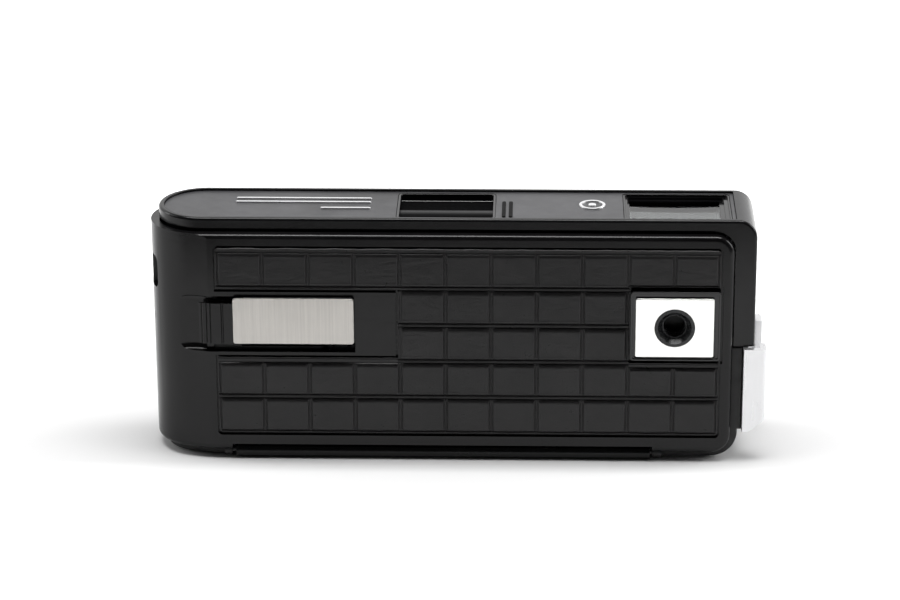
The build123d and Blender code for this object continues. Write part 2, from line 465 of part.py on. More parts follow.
# ---------------------------------------------------------------- right end and shoe
END_R = 5.8
ebk = cy(BODY_X1 - 4.2, BODY_Z0 + 4.2, END_R, -9.3, 9.3) + bx(BODY_X1 - 4.2, 63.6, -9.3, 9.3, BODY_Z0 + 4.2, 25.8)
ebk -= cy(BODY_X1 - 4.2, BODY_Z0 + 4.2, 4.25, -10, 10) + bx(40, BODY_X1 + 0.05, -10, 10, BODY_Z0 + 4.2, 30)
ebk &= bx(BODY_X1 - 4.2, 70, -10, 10, -0.3, 30)
ebk += bx(63.5, 64.45, -9.3, 9.3, SHOE_Z[0], 25.8)
ebk = soft(ebk, [e for e in ebk.edges() if abs(abs(e.center().Y) - 9.3) < 0.01 and e.center().X > 63.0], 0.35)
NODES["end_block"] = ebk
sx0, sx1 = SHOE_X
shoe = bx(sx0, 65.6, -10.8, 10.8, *SHOE_Z)
for s in (-1, 1):
    y0, y1 = sorted((s * SHOE_IN, s * 10.8))
    shoe += bx(65.5, sx1, y0, y1, *SHOE_Z)
    y0, y1 = sorted((s * 6.5, s * 10.8))
    shoe += bx(68.1, sx1, y0, y1, *SHOE_Z)
shoe = soft(shoe, [e for e in shoe.edges().filter_by(Axis.Z) if abs(abs(e.center().Y) - 10.8) < 0.01 and e.center().X > 69], 0.9)
shoe = soft(shoe, [e for e in shoe.edges().filter_by(Axis.Z) if abs(abs(e.center().Y) - 10.8) < 0.01 and e.center().X < 65], 0.3)
wedge = make_face(Polyline((sx1 + 0.1, SHOE_Z[0] - 0.1), (sx1 - 3.7, SHOE_Z[0] - 0.1), (sx1 + 0.1, SHOE_Z[0] + 2.9), close=True))
shoe -= Pos(0, 20, 0) * Rot(90, 0, 0) * extrude(wedge, 40)
screws = None
for z in (10.6, 21.0):
    sc = cx(0, z, 1.7, 65.6, 66.3) + cx(0, z, 0.8, 60.6, 65.7)
    sc -= bx(66.0, 67, -2, 2, z - 0.22, z + 0.22)
    screws = sc if screws is None else screws + sc
NODES["shoe_screws"] = screws
NODES["contact_insulator"] = cx(0, 15.8, 2.3, 64.5, 66.0) - cx(0, 15.8, 1.0, 60, 70)
NODES["shoe_contact"] = cx(0, 15.8, 1.0, 62.2, 66.4)
for z in (10.6, 21.0):
    hole = cx(0, z, 0.8, 59, 66)
    shoe -= hole
    NODES["end_block"] -= hole
    under -= hole
    top -= hole
shoe -= cx(0, 15.8, 2.3, 64, 67)
NODES["end_block"] -= cx(0, 15.8, 1.0, 62.2, 65)
NODES["accessory_shoe"] = shoe

# ---------------------------------------------------------------- strap bar
SZ0, SZ1 = STRAP_Z
SY0, SY1 = STRAP_Y
cup = (bx(-66, -58.6, SY0 - 0.8, SY1 + 0.8, SZ0 - 0.8, SZ1 + 0.8) & stadium(BODY_XC, 0, BODY_R - WALL - 0.05, SZ0 - 2, SZ1 + 2)) \
    - bx(-70, -59.4, SY0, SY1, SZ0, SZ1)
# its wall on the top side reaches out through the shell
cup += rbox(-68, -60.0, SY0, SY1 + 0.8, SZ0, SZ1, 1.4, Axis.X) & bx(-70, -60.0, SY1, SY1 + 1, SZ0, SZ1) & blunt(0.06, SZ0 - 1, SZ1 + 1)
cup -= cz(-63.0, -3.3, 0.8, SZ0 - 1, SZ1 + 2)
NODES["strap_cup"] = cup
NODES["strap_bar"] = cz(-63.0, -3.3, 0.8, SZ0 - 0.85, SZ1 + 0.85)

# ---------------------------------------------------------------- shell screws under the leatherette
SCREWS = [(-47.5, 8.2), (34.5, 7.5), (34.5, 44.5), (-31.0, 44.5)]
scr = None
for x, z in SCREWS:
    s = cy(x, z, 1.5, -11.5, -10.8) + cy(x, z, 0.8, -10.9, -6.0)
    s -= bx(x - 2, x + 2, -12, -11.2, z - 0.2, z + 0.2)
    scr = s if scr is None else scr + s
    cutter = cy(x, z, 1.5, -12, -10.8) + cy(x, z, 0.8, -11, -6.0)
    under -= cutter
    frame -= cutter
    chamber -= cutter
NODES["shell_screws"] = scr

# ---------------------------------------------------------------- leatherette
x0, x1, z0, z1 = LEATHER


lu = rbox(x0, x1, -BODY_R - LEATHER_T, -BODY_R, z0, z1, 0.8)
groove = None
for c in range(1, COLS):
    gx = GRID_X0 + c * PITCH_X
    g = bx(gx - 0.5, gx + 0.5, -14, -BODY_R - 0.35, z0 - 1, z1 + 1)
    groove = g if groove is None else groove + g
for r in range(1, ROWS):
    gz = GRID_Z0 + r * PITCH_Z
    groove += bx(x0 - 1, x1 + 1, -14, -BODY_R - 0.35, gz - 0.35, gz + 0.35)
lu -= groove
lu -= rbox(-56, NOTCH_A[0], -14, -10, NOTCH_A[1], NOTCH_A[2], 0.8)
lu -= rbox(NOTCH_B[0], 61, -14, -10, NOTCH_B[1], NOTCH_B[2], 0.7)
NODES["leatherette_underside"] = lu

lt_a = rbox(-51.1, -14.5, BODY_R, BODY_R + LEATHER_T, 6.5, 45.0, 0.8) - cy(-43.0, 18.2, 2.6, 10, 14)
lt_b = rbox(27.2, 59.2, BODY_R, BODY_R + LEATHER_T, 6.5, 45.0, 0.8)
lt_b += rbox(12.5, 30, BODY_R, BODY_R + LEATHER_T, 6.5, 45.0, 0.8)
lt_b -= cy(BUTTON_X, BUTTON_Z, 5.2, 10, 14)
lt = lt_a + lt_b
NODES["leatherette_top"] = lt

NODES["underside_shell"] = under
NODES["topside_shell"] = top
NODES["main_frame"] = frame
chamber += (ends + lug0 + lug1) - cx(HINGE_Y, HINGE_Z, 0.6, pin_x0, pin_x1)
NODES["film_chamber"] = chamber

for name, shape in NODES.items():
    moved = Pos(SHIFT_X, 0, SHIFT_Z) * shape
    solids = moved.solids()
    out = Compound(children=list(solids)) if len(solids) > 1 else solids[0]
    out.label = name
    export_step(out, "parts/" + name + ".step")
    print(name, len(solids), round(sum(s.volume for s in solids), 2))
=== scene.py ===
import bpy, bmesh, math, json, random
import numpy as np
from mathutils import Vector, Matrix


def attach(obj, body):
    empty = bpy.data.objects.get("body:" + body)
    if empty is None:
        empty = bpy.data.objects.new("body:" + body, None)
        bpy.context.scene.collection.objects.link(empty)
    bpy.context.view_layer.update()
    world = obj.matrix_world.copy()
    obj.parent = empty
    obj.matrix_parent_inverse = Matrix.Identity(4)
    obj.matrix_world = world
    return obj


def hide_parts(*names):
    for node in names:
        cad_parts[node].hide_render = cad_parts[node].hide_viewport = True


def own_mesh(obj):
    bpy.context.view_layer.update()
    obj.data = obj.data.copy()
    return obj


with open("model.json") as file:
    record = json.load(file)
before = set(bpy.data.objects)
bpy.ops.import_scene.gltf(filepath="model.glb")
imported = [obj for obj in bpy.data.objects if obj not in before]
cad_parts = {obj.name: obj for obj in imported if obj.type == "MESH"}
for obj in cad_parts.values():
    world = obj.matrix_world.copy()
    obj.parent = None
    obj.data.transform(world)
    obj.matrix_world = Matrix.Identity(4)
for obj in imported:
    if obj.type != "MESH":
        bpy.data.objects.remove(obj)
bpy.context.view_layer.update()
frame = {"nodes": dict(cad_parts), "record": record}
NODES = frame["nodes"]
scene = bpy.context.scene
SX, SZ = -1.7, 0.7              # working zero to the frame's zero, mm
MM = 0.001


def P(x, y, z):
    """Working coordinates in mm to the frame in metres."""
    return ((x + SX) * MM, y * MM, (z + SZ) * MM)


# ------------------------------------------------------------------ node helpers
def new_mat(name):
    m = bpy.data.materials.new(name)
    m.use_nodes = True
    nt = m.node_tree
    for n in list(nt.nodes):
        nt.nodes.remove(n)
    out = nt.nodes.new("ShaderNodeOutputMaterial")
    b = nt.nodes.new("ShaderNodeBsdfPrincipled")
    nt.links.new(b.outputs["BSDF"], out.inputs["Surface"])
    return m, nt, b


def node(nt, kind, **inputs):
    n = nt.nodes.new(kind)
    for k, v in inputs.items():
        n.inputs[k.replace("_", " ")].default_value = v
    return n


def coords(nt, scale=(1, 1, 1), rot=(0, 0, 0)):
    tc = nt.nodes.new("ShaderNodeTexCoord")
    mp = nt.nodes.new("ShaderNodeMapping")
    mp.inputs["Scale"].default_value = scale
    mp.inputs["Rotation"].default_value = rot
    nt.links.new(tc.outputs["Object"], mp.inputs["Vector"])
    return mp.outputs["Vector"]


def noise(nt, vec, scale, detail=4.0, rough=0.55, dist=0.0):
    n = nt.nodes.new("ShaderNodeTexNoise")
    n.inputs["Scale"].default_value = scale
    n.inputs["Detail"].default_value = detail
    n.inputs["Roughness"].default_value = rough
    n.inputs["Distortion"].default_value = dist
    nt.links.new(vec, n.inputs["Vector"])
    return n.outputs["Fac"]


def ramp(nt, fac, stops):
    r = nt.nodes.new("ShaderNodeValToRGB")
    el = r.color_ramp.elements
    el[0].position, el[0].color = stops[0][0], (*[stops[0][1]] * 3, 1) if not hasattr(stops[0][1], "__len__") else (*stops[0][1], 1)
    el[1].position, el[1].color = stops[-1][0], (*[stops[-1][1]] * 3, 1) if not hasattr(stops[-1][1], "__len__") else (*stops[-1][1], 1)
    for p, c in stops[1:-1]:
        e = el.new(p)
        e.color = (c, c, c, 1) if not hasattr(c, "__len__") else (*c, 1)
    nt.links.new(fac, r.inputs["Fac"])
    return r.outputs["Color"]


def maprange(nt, fac, a, b, lo=0.0, hi=1.0):
    n = nt.nodes.new("ShaderNodeMapRange")
    n.inputs["From Min"].default_value = lo
    n.inputs["From Max"].default_value = hi
    n.inputs["To Min"].default_value = a
    n.inputs["To Max"].default_value = b
    nt.links.new(fac, n.inputs["Value"])
    return n.outputs["Result"]


def bump(nt, b, height, strength, dist):
    n = nt.nodes.new("ShaderNodeBump")
    n.inputs["Strength"].default_value = strength
    n.inputs["Distance"].default_value = dist
    nt.links.new(height, n.inputs["Height"])
    nt.links.new(n.outputs["Normal"], b.inputs["Normal"])
    return n


def add(nt, a, b_, k=1.0):
    m = nt.nodes.new("ShaderNodeMath")
    m.operation = "MULTIPLY_ADD"
    m.inputs[1].default_value = k
    nt.links.new(b_, m.inputs[0])
    nt.links.new(a, m.inputs[2])
    return m.outputs[0]


def moulded(name, base, rough, grain=2600.0, grain_k=0.12, rvar=0.05, spec=0.5, cvar=0.35, wear=True):
    """Moulded plastic: fine grain, slow waviness, roughness that varies, faint colour drift."""
    m, nt, b = new_mat(name)
    v = coords(nt)
    fine = noise(nt, v, grain, 3.0, 0.6)
    slow = noise(nt, v, 45.0, 3.0, 0.5)
    mid = noise(nt, v, 320.0, 5.0, 0.65)
    c0 = tuple(max(0.0, x * (1 - cvar)) for x in base)
    c1 = tuple(x * (1 + cvar) for x in base)
    nt.links.new(ramp(nt, slow, [(0.3, c0), (0.7, c1)]), b.inputs["Base Color"])
    r = maprange(nt, mid, rough - rvar, rough + rvar, 0.3, 0.7)
    if wear:      # faint handling scratches
        sc = nt.nodes.new("ShaderNodeTexNoise")
        sc.inputs["Scale"].default_value = 60.0
        sc.inputs["Detail"].default_value = 2.0
        vv = coords(nt, (1.0, 1.0, 14.0), (0.3, 0.9, 0.2))
        nt.links.new(vv, sc.inputs["Vector"])
        r = add(nt, r, maprange(nt, sc.outputs["Fac"], 0.0, 0.08, 0.62, 0.75))
    nt.links.new(r, b.inputs["Roughness"])
    b.inputs["Specular IOR Level"].default_value = spec
    bump(nt, b, add(nt, fine, mid, 0.4), grain_k, 0.00004)
    return m


def metal(name, base, rough, stretch=None, k=0.1, rvar=0.06, scale=900.0, cvar=0.08, metallic=1.0):
    m, nt, b = new_mat(name)
    v = coords(nt, stretch or (1, 1, 1))
    f = noise(nt, v, scale, 6.0, 0.7)
    v2 = coords(nt)
    s = noise(nt, v2, 120.0, 3.0, 0.5)
    c0 = tuple(x * (1 - cvar) for x in base)
    c1 = tuple(min(1.0, x * (1 + cvar)) for x in base)
    nt.links.new(ramp(nt, add(nt, f, s, 0.3), [(0.35, c0), (0.95, c1)]), b.inputs["Base Color"])
    nt.links.new(maprange(nt, f, rough - rvar, rough + rvar, 0.25, 0.75), b.inputs["Roughness"])
    b.inputs["Metallic"].default_value = metallic
    bump(nt, b, f, k, 0.00003)
    return m


def glassy(name, tint=(0.9, 0.95, 0.95), rough=0.02, alpha=1.0, ior=1.5, trans=1.0):
    m, nt, b = new_mat(name)
    v = coords(nt)
    dust = noise(nt, v, 1500.0, 3.0, 0.7)
    nt.links.new(maprange(nt, dust, rough, rough + 0.05, 0.55, 0.8), b.inputs["Roughness"])
    tintn = noise(nt, v, 30.0, 1.0)
    nt.links.new(ramp(nt, tintn, [(0.3, tuple(x * 0.97 for x in tint)), (0.7, tint)]), b.inputs["Base Color"])
    b.inputs["Transmission Weight"].default_value = trans
    b.inputs["IOR"].default_value = ior
    b.inputs["Alpha"].default_value = alpha
    return m


def leather(name):
    m, nt, b = new_mat(name)
    v = coords(nt)
    vw = coords(nt, (1.0, 1.0, 1.0), (0.0, 0.4, 0.0))
    wr = noise(nt, vw, 420.0, 8.0, 0.72, 0.9)
    wr2 = nt.nodes.new("ShaderNodeTexNoise")
    wr2.inputs["Scale"].default_value = 260.0
    wr2.inputs["Detail"].default_value = 5.0
    wr2.inputs["Distortion"].default_value = 1.4
    vs = coords(nt, (0.45, 1.0, 1.3))
    nt.links.new(vs, wr2.inputs["Vector"])
    vor = nt.nodes.new("ShaderNodeTexVoronoi")
    vor.feature = "DISTANCE_TO_EDGE"
    vor.inputs["Scale"].default_value = 1900.0
    nt.links.new(v, vor.inputs["Vector"])
    pores = maprange(nt, vor.outputs["Distance"], 0.0, 1.0, 0.0, 0.16)
    slow = noise(nt, v, 70.0, 3.0, 0.5)
    nt.links.new(ramp(nt, add(nt, slow, wr, 0.35), [(0.42, (0.0085, 0.0082, 0.0086)), (0.9, (0.017, 0.0162, 0.0168))]), b.inputs["Base Color"])
    nt.links.new(maprange(nt, wr, 0.26, 0.40, 0.3, 0.7), b.inputs["Roughness"])
    b.inputs["Specular IOR Level"].default_value = 0.305
    h = add(nt, maprange(nt, wr2.outputs["Fac"], 0.0, 1.0, 0.3, 0.7), wr, 0.8)
    h = add(nt, h, pores, 0.22)
    bump(nt, b, h, 0.30, 0.00010)
    return m


MATS = {
    "black_satin_plastic": moulded("black_satin_plastic", (0.0046, 0.0044, 0.0048), 0.19, 2600, 0.05, 0.03, 0.275),
    "hood_satin_plastic": moulded("hood_satin_plastic", (0.0046, 0.0045, 0.0050), 0.20, 2200, 0.06, 0.03, 0.32),
    # painted shade: the door's plastic is a darker copy of the black satin plastic, for the hinge barrel that sits low
    # in shade
    "door_satin_plastic": moulded("door_satin_plastic", (0.0030, 0.0030, 0.0032), 0.24, 2400, 0.08, 0.04, 0.24),
    "name_plate_satin": moulded("name_plate_satin", (0.047, 0.047, 0.050), 0.42, 3600, 0.35, 0.04),
    "black_gloss_plastic": moulded("black_gloss_plastic", (0.004, 0.004, 0.0045), 0.10, 1800, 0.02, 0.03),
    "inner_black": moulded("inner_black", (0.006, 0.006, 0.006), 0.55, 2400, 0.2),
    "optical_glass": glassy("optical_glass"),
    "clear_window": glassy("clear_window", (0.95, 0.96, 0.96), 0.03),
    "brushed_trim": metal("brushed_trim", (0.58, 0.56, 0.53), 0.42, (1.0, 1.0, 0.02), 0.22, 0.08, 2600.0, 0.16),
    "spring_steel": metal("spring_steel", (0.55, 0.55, 0.56), 0.3),
    "steel": metal("steel", (0.58, 0.58, 0.6), 0.32),
    "blade_steel": metal("blade_steel", (0.035, 0.035, 0.036), 0.45, metallic=0.4),
    "gear_plastic": moulded("gear_plastic", (0.016, 0.016, 0.017), 0.45, spec=0.2),
    "dial_white": moulded("dial_white", (0.8, 0.8, 0.77), 0.4, cvar=0.03),
    "dial_black": moulded("dial_black", (0.010, 0.010, 0.010), 0.42),
    "satin_metal": metal("satin_metal", (0.75, 0.75, 0.76), 0.33, (1, 0.05, 1), 0.12),
    "anodised_barrel": metal("anodised_barrel", (0.03, 0.03, 0.033), 0.38, metallic=0.5),
    "bright_plate": metal("bright_plate", (0.97, 0.97, 0.95), 0.22, None, 0.05, 0.04, 1500.0, 0.02, 0.92),
    "black_bush": metal("black_bush", (0.020, 0.021, 0.022), 0.28, metallic=0.3),
    "shoe_metal": metal("shoe_metal", (0.80, 0.80, 0.81), 0.30, (1, 1, 0.05), 0.10, 0.06, 1400.0, 0.03, 0.8),
    "brass_contact": metal("brass_contact", (0.80, 0.60, 0.26), 0.28),
    "leatherette": leather("leatherette"),
}


def cover_painted_sheen(name, y0):
    """Dull black blade with a painted sheen: specular level raised in a band along its front half."""
    m, nt, b = new_mat(name)
    v = coords(nt)
    g = noise(nt, v, 1800.0, 3.0, 0.6)
    nt.links.new(ramp(nt, g, [(0.3, (0.003, 0.003, 0.003)), (0.7, (0.006, 0.006, 0.0065))]), b.inputs["Base Color"])
    nt.links.new(maprange(nt, noise(nt, v, 300.0), 0.10, 0.18, 0.3, 0.7), b.inputs["Roughness"])
    sp = nt.nodes.new("ShaderNodeSeparateXYZ")
    nt.links.new(v, sp.inputs[0])
    yy = maprange(nt, sp.outputs["Y"], 0.0, 1.0, -0.004 - y0, 0.004 - y0)
    # painted sheen: the specular level follows position along Y and is raised only in a narrow band
    nt.links.new(ramp(nt, yy, [(0.30, 0.0), (0.50, 0.002), (0.57, 0.010), (0.65, 0.03), (0.72, 0.10), (0.79, 0.13), (0.86, 0.0), (1.0, 0.0)]), b.inputs["Specular IOR Level"])
    bump(nt, b, g, 0.03, 0.00003)
    return m


MATS["lens_cover_painted_sheen"] = cover_painted_sheen("lens_cover_painted_sheen", NODES["lens_cover"].matrix_world.translation.y)
rec = frame["record"]
for s in rec["subparts"]:
    o = NODES[s["node"]]
    o.data.materials.clear()
    o.data.materials.append(MATS["lens_cover_painted_sheen" if s["node"] == "lens_cover" else s["material_slot"]])


# ------------------------------------------------------------------ mesh helpers
def obj_from(name, verts, faces, mat, body, smooth=True):
    me = bpy.data.meshes.new(name)
    me.from_pydata([tuple(v) for v in verts], [], [tuple(f) for f in faces])
    me.update()
    o = bpy.data.objects.new(name, me)
    scene.collection.objects.link(o)
    bm = bmesh.new()
    bm.from_mesh(me)
    bmesh.ops.recalc_face_normals(bm, faces=bm.faces)
    bm.to_mesh(me)
    bm.free()
    for p in me.polygons:
        p.use_smooth = smooth
    me.materials.append(MATS[mat] if isinstance(mat, str) else mat)
    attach(o, body)
    return o


def apply_mods(o):
    dg = bpy.context.evaluated_depsgraph_get()
    me = bpy.data.meshes.new_from_object(o.evaluated_get(dg))
    o.modifiers.clear()
    o.data = me


# ------------------------------------------------------------------ leatherette panels
def lines(a, b, step, fixed, zones=(), fine=None):
    """Grid lines from a to b about step apart, closer inside the zones, through every fixed value."""
    pts = sorted(set([a, b] + [f for f in fixed if a < f < b]))
    out = [a]
    for p, q in zip(pts, pts[1:]):
        t = np.linspace(p, q, 3000)
        dens = np.full(t.shape, 1 / step)
        for u, v in zones:
            dens[(t > u) & (t < v)] = 1 / (fine or step)
        cum = np.concatenate([[0], np.cumsum((dens[1:] + dens[:-1]) / 2 * np.diff(t))])
        n = max(1, round(cum[-1]))
        out += list(np.interp(np.arange(1, n + 1) / n * cum[-1], cum, t))
    return np.array(out)


def panel(name, x0, x1, z0, z1, grid_x, grid_z, cuts, y_face, out, body, replaces, holes=(), seed=1, step=0.2, tops=None, fine=None):
    """A pressed leatherette sheet. grid_x and grid_z are the sewn lines, cuts are rectangles left out,
    y_face is the face it lies on, out is -1 or 1, the way it stands proud."""
    fx = [c for cu in cuts for c in cu[:2]]
    fz = [c for cu in cuts for c in cu[2:]]
    zx = [(g - 1.3, g + 1.3) for g in grid_x] + [(g - 1.6, g + 1.6) for g in [x0, x1] + fx]
    zz = [(g - 1.6, g + 1.6) for g in grid_z] + [(g - 2.4, g + 2.4) for g in [z0, z1] + fz]
    xs = lines(x0, x1, step, fx, zx, fine)
    zs = lines(z0, z1, step, fz, zz, fine)
    X, Z = np.meshgrid(xs, zs, indexing="ij")
    cxm, czm = (xs[:-1] + xs[1:]) / 2, (zs[:-1] + zs[1:]) / 2
    CX, CZ = np.meshgrid(cxm, czm, indexing="ij")
    keep = np.ones(CX.shape, bool)
    for a, b, c, d in cuts:
        keep &= ~((CX > a) & (CX < b) & (CZ > c) & (CZ < d))
    for hx, hz, hr in holes:
        keep &= ~((CX - hx) ** 2 + (CZ - hz) ** 2 < (hr - step * 0.5) ** 2)
    # distance from the outline
    D = np.minimum.reduce([X - x0, x1 - X, Z - z0, z1 - Z])
    for a, b, c, d in cuts:
        dx = np.maximum.reduce([a - X, X - b, np.zeros_like(X)])
        dz = np.maximum.reduce([c - Z, Z - d, np.zeros_like(Z)])
        D = np.minimum(D, np.hypot(dx, dz))
    for hx, hz, hr in holes:
        D = np.minimum(D, np.hypot(X - hx, Z - hz) - hr)
    D = np.maximum(D, 0)
    # distance from the nearest sewn line
    gx = np.min(np.abs(X[..., None] - np.array(grid_x)), -1)
    gz = np.min(np.abs(Z[..., None] - np.array(grid_z)), -1)

    def sm(t):
        t = np.clip(t, 0, 1)
        return t * t * (3 - 2 * t)

    FACE, FLOOR = 0.73, 0.13

    def wall(d, half, run, floor):
        t = np.clip((d - half) / run, 0, 1)
        return floor + (FACE - floor) * (np.sqrt(np.clip(1 - (1 - t) ** 2, 0, 1)) * 0.7 + 0.3 * sm(t))

    def arc(u, floor):
        """Steep little rise and then a long round shoulder along the upper edge of a tile, u runs down from the crease."""
        steep = floor + np.clip(u, 0, 0.20) * 1.54
        w = np.clip((u - 0.20) / 1.0, 0, 1)
        top = floor + 0.308
        return np.where(u <= 0.20, steep, FACE - (FACE - top) * (1 - w) ** 2)

    hx_ = wall(gx, 0.36, 0.28, 0.34) + 0.045 * np.exp(-(((gx - 0.82) / 0.20) ** 2)) + 0.19 * np.exp(-((gx / 0.17) ** 2))
    dz = Z[..., None] - np.array(grid_z)
    k_ = np.abs(dz).argmin(-1)
    dz = np.take_along_axis(dz, k_[..., None], -1)[..., 0]
    hz_ = np.where(dz >= 0, wall(dz, 0.92, 0.28, FLOOR) + 0.045 * np.exp(-(((dz - 1.34) / 0.20) ** 2)), arc(-dz - 0.22, FLOOR))
    hz_ = hz_ + 0.24 * np.exp(-(((dz - 0.38) / 0.17) ** 2))
    # rounded tile corners: the walls blend where they meet
    k = 0.07
    h = -k * np.log(np.exp(-hx_ / k) + np.exp(-hz_ / k)) + 0.0
    h = np.maximum(h, FLOOR - 0.02)
    # outline: rounded lip, thin crease, then the tile's own shoulder
    lip = 0.20 + 0.26 * np.sqrt(np.clip(1 - (1 - np.clip(D / 0.20, 0, 1)) ** 2, 0, 1)) - 0.20 * sm((D - 0.26) / 0.24)
    edge = np.where(D < 0.60, lip, 10)
    rise = wall(D - 0.60, 0.0, 0.45, 0.26) + 0.03 * np.exp(-(((D - 1.3) / 0.28) ** 2))
    h = np.minimum(h, np.minimum(edge, np.where(D >= 0.60, rise, 10)))
    for ze, xa, xb in (tops or [(z1, x0, x1)]):
        dt = ze - Z
        inside = (X > xa) & (X < xb) & (dt >= 0.30) & (dt < 2.6)
        low = 0.46 - 0.30 * sm((dt - 0.26) / 0.22)
        h = np.minimum(h, np.where(inside, np.where(dt < 1.02, low, arc(dt - 1.02, 0.16)), 10))
    # creases of real material; a soft crown is computed here but not added
    rng = np.random.RandomState(seed)
    crown = 0.05 * np.cos(np.pi * np.clip(gx / 5.0, 0, 1) - np.pi) + 0.0
    crown += 0.05
    wav = np.zeros_like(X)
    for _ in range(26):
        kx, kz = rng.uniform(0.2, 1.6), rng.uniform(0.5, 3.2)
        ph = rng.uniform(0, 6.28)
        wav += rng.uniform(0.2, 1.0) * np.sin(kx * X * rng.choice([-1, 1]) + kz * Z + ph + 1.2 * np.sin(0.7 * X + ph))
    wav /= np.abs(wav).max()
    h = h + wav * 0.012 * sm((np.minimum(gx, gz) - 0.8) / 0.8) * sm((D - 0.8) / 0.8)
    # outline scalloped a little between the sewn lines
    sc = 0.10
    px = np.cos(2 * np.pi * (X - grid_x[0]) / PX)
    pz = np.cos(2 * np.pi * (Z - grid_z[0]) / PZ)
    VX, VZ = X.copy(), Z.copy()
    fall = np.exp(-D / 0.9)

    def push(dist, axis, sign, wave):
        w = np.exp(-np.clip(dist, 0, 50) / 0.5)
        if axis == 0:
            VX[:] += sign * sc * (-wave) * w * 0.5
        else:
            VZ[:] += sign * sc * (-wave) * w * 0.5
    push(X - x0, 0, -1, pz)
    push(x1 - X, 0, 1, pz)
    push(Z - z0, 1, -1, px)
    push(z1 - Z, 1, 1, px)
    VZ += 0.035 * np.sin(X * 0.61 + seed) * fall + 0.02 * np.sin(X * 1.7 + 2 * seed) * fall
    # round convex corners
    R = 0.9
    for cx0, sx in ((x0, 1), (x1, -1)):
        for cz0, sz in ((z0, 1), (z1, -1)):
            u = 1 - (X - cx0) * sx / R
            v = 1 - (Z - cz0) * sz / R
            m = (u >= 0) & (v >= 0)
            nu = u * np.sqrt(np.clip(1 - v * v / 2, 0, 1))
            nv = v * np.sqrt(np.clip(1 - u * u / 2, 0, 1))
            VX = np.where(m, cx0 + sx * R * (1 - nu), VX)
            VZ = np.where(m, cz0 + sz * R * (1 - nv), VZ)
    # circular holes: vertices near a hole snap to its circle
    for hx, hz, hr in holes:
        r = np.hypot(X - hx, Z - hz)
        m = r < hr + step * 0.75
        k = np.where(m, hr / np.maximum(r, 1e-6), 1)
        VX = np.where(m, hx + (X - hx) * k, VX)
        VZ = np.where(m, hz + (Z - hz) * k, VZ)
        h = np.where(m, 0.35, h)
    h = np.clip(h, 0.08, 0.785)
    nx, nz = X.shape
    used = np.zeros((nx, nz), bool)
    used[:-1, :-1] |= keep
    used[1:, :-1] |= keep
    used[:-1, 1:] |= keep
    used[1:, 1:] |= keep
    idx = -np.ones((nx, nz), int)
    idx[used] = np.arange(used.sum())
    n = used.sum()
    top = np.stack([(VX[used] + SX) * MM, (y_face + out * h[used]) * MM, (VZ[used] + SZ) * MM], 1)
    base = np.stack([(VX[used] + SX) * MM, np.full(n, y_face + out * 0.01) * MM, (VZ[used] + SZ) * MM], 1)
    faces = []
    I, J = np.nonzero(keep)
    a, b, c, d = idx[I, J], idx[I + 1, J], idx[I + 1, J + 1], idx[I, J + 1]
    faces += np.stack([a, b, c, d], 1).tolist()
    faces += np.stack([a + n, d + n, c + n, b + n], 1).tolist()
    pad = np.pad(keep, 1)
    for (di, dj), (p, q) in {(-1, 0): ((0, 0), (0, 1)), (1, 0): ((1, 0), (1, 1)), (0, -1): ((0, 0), (1, 0)), (0, 1): ((0, 1), (1, 1))}.items():
        edge_cells = keep & ~pad[1 + di:pad.shape[0] - 1 + di, 1 + dj:pad.shape[1] - 1 + dj]
        I, J = np.nonzero(edge_cells)
        u, v = idx[I + p[0], J + p[1]], idx[I + q[0], J + q[1]]
        faces += np.stack([u, v, v + n, u + n], 1).tolist()
    o = obj_from(name, np.concatenate([top, base]), faces, "leatherette", body)
    for r_ in replaces:
        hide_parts(r_)
    return o


PX, PZ = 10.0, 8.6
UX0, UX1, UZ0, UZ1 = -51.2, 59.05, 5.85, 49.35
gxs = [-50.95 + PX * k for k in range(1, 11)]
gzs = [14.30, 22.80, 31.32, 39.90]
lu = panel("leatherette_underside_sheet", UX0, UX1, UZ0, UZ1, gxs, gzs,
           [(-60, -11.4, 23.75, 39.9), (39.2, 60, 22.9, 40.7)], -11.5, -1, "camera_body", ["leatherette_underside"], seed=3,
           tops=[(UZ1, UX0, UX1), (23.75, UX0, -11.4), (22.9, 39.2, UX1)], step=0.38, fine=0.085)
lt1 = panel("leatherette_top_sheet_a", -51.1, -14.5, 6.5, 45.0, [-51.1 + 9.15 * k for k in range(1, 4)], [6.5 + 9.625 * k for k in range(1, 4)],
            [], 11.5, 1, "camera_body", ["leatherette_top"], holes=[(-43.0, 18.2, 2.7)], seed=5)
lt2 = panel("leatherette_top_sheet_b", 12.5, 59.2, 6.5, 45.0, [12.5 + 9.34 * k for k in range(1, 5)], [6.5 + 9.625 * k for k in range(1, 4)],
            [], 11.5, 1, "camera_body", ["leatherette_top"], holes=[(30.0, 28.0, 5.3)], seed=7)

# ------------------------------------------------------------------ trim lines and mark on the name plate
MATS["relief_black"] = moulded("relief_black", (0.004, 0.004, 0.004), 0.5, 2000, 0.1, 0.05, 0.05)
MATS["silver_line"] = metal("silver_line", (0.86, 0.86, 0.87), 0.30, None, 0.05, 0.05, 1500.0, 0.03, 0.85)


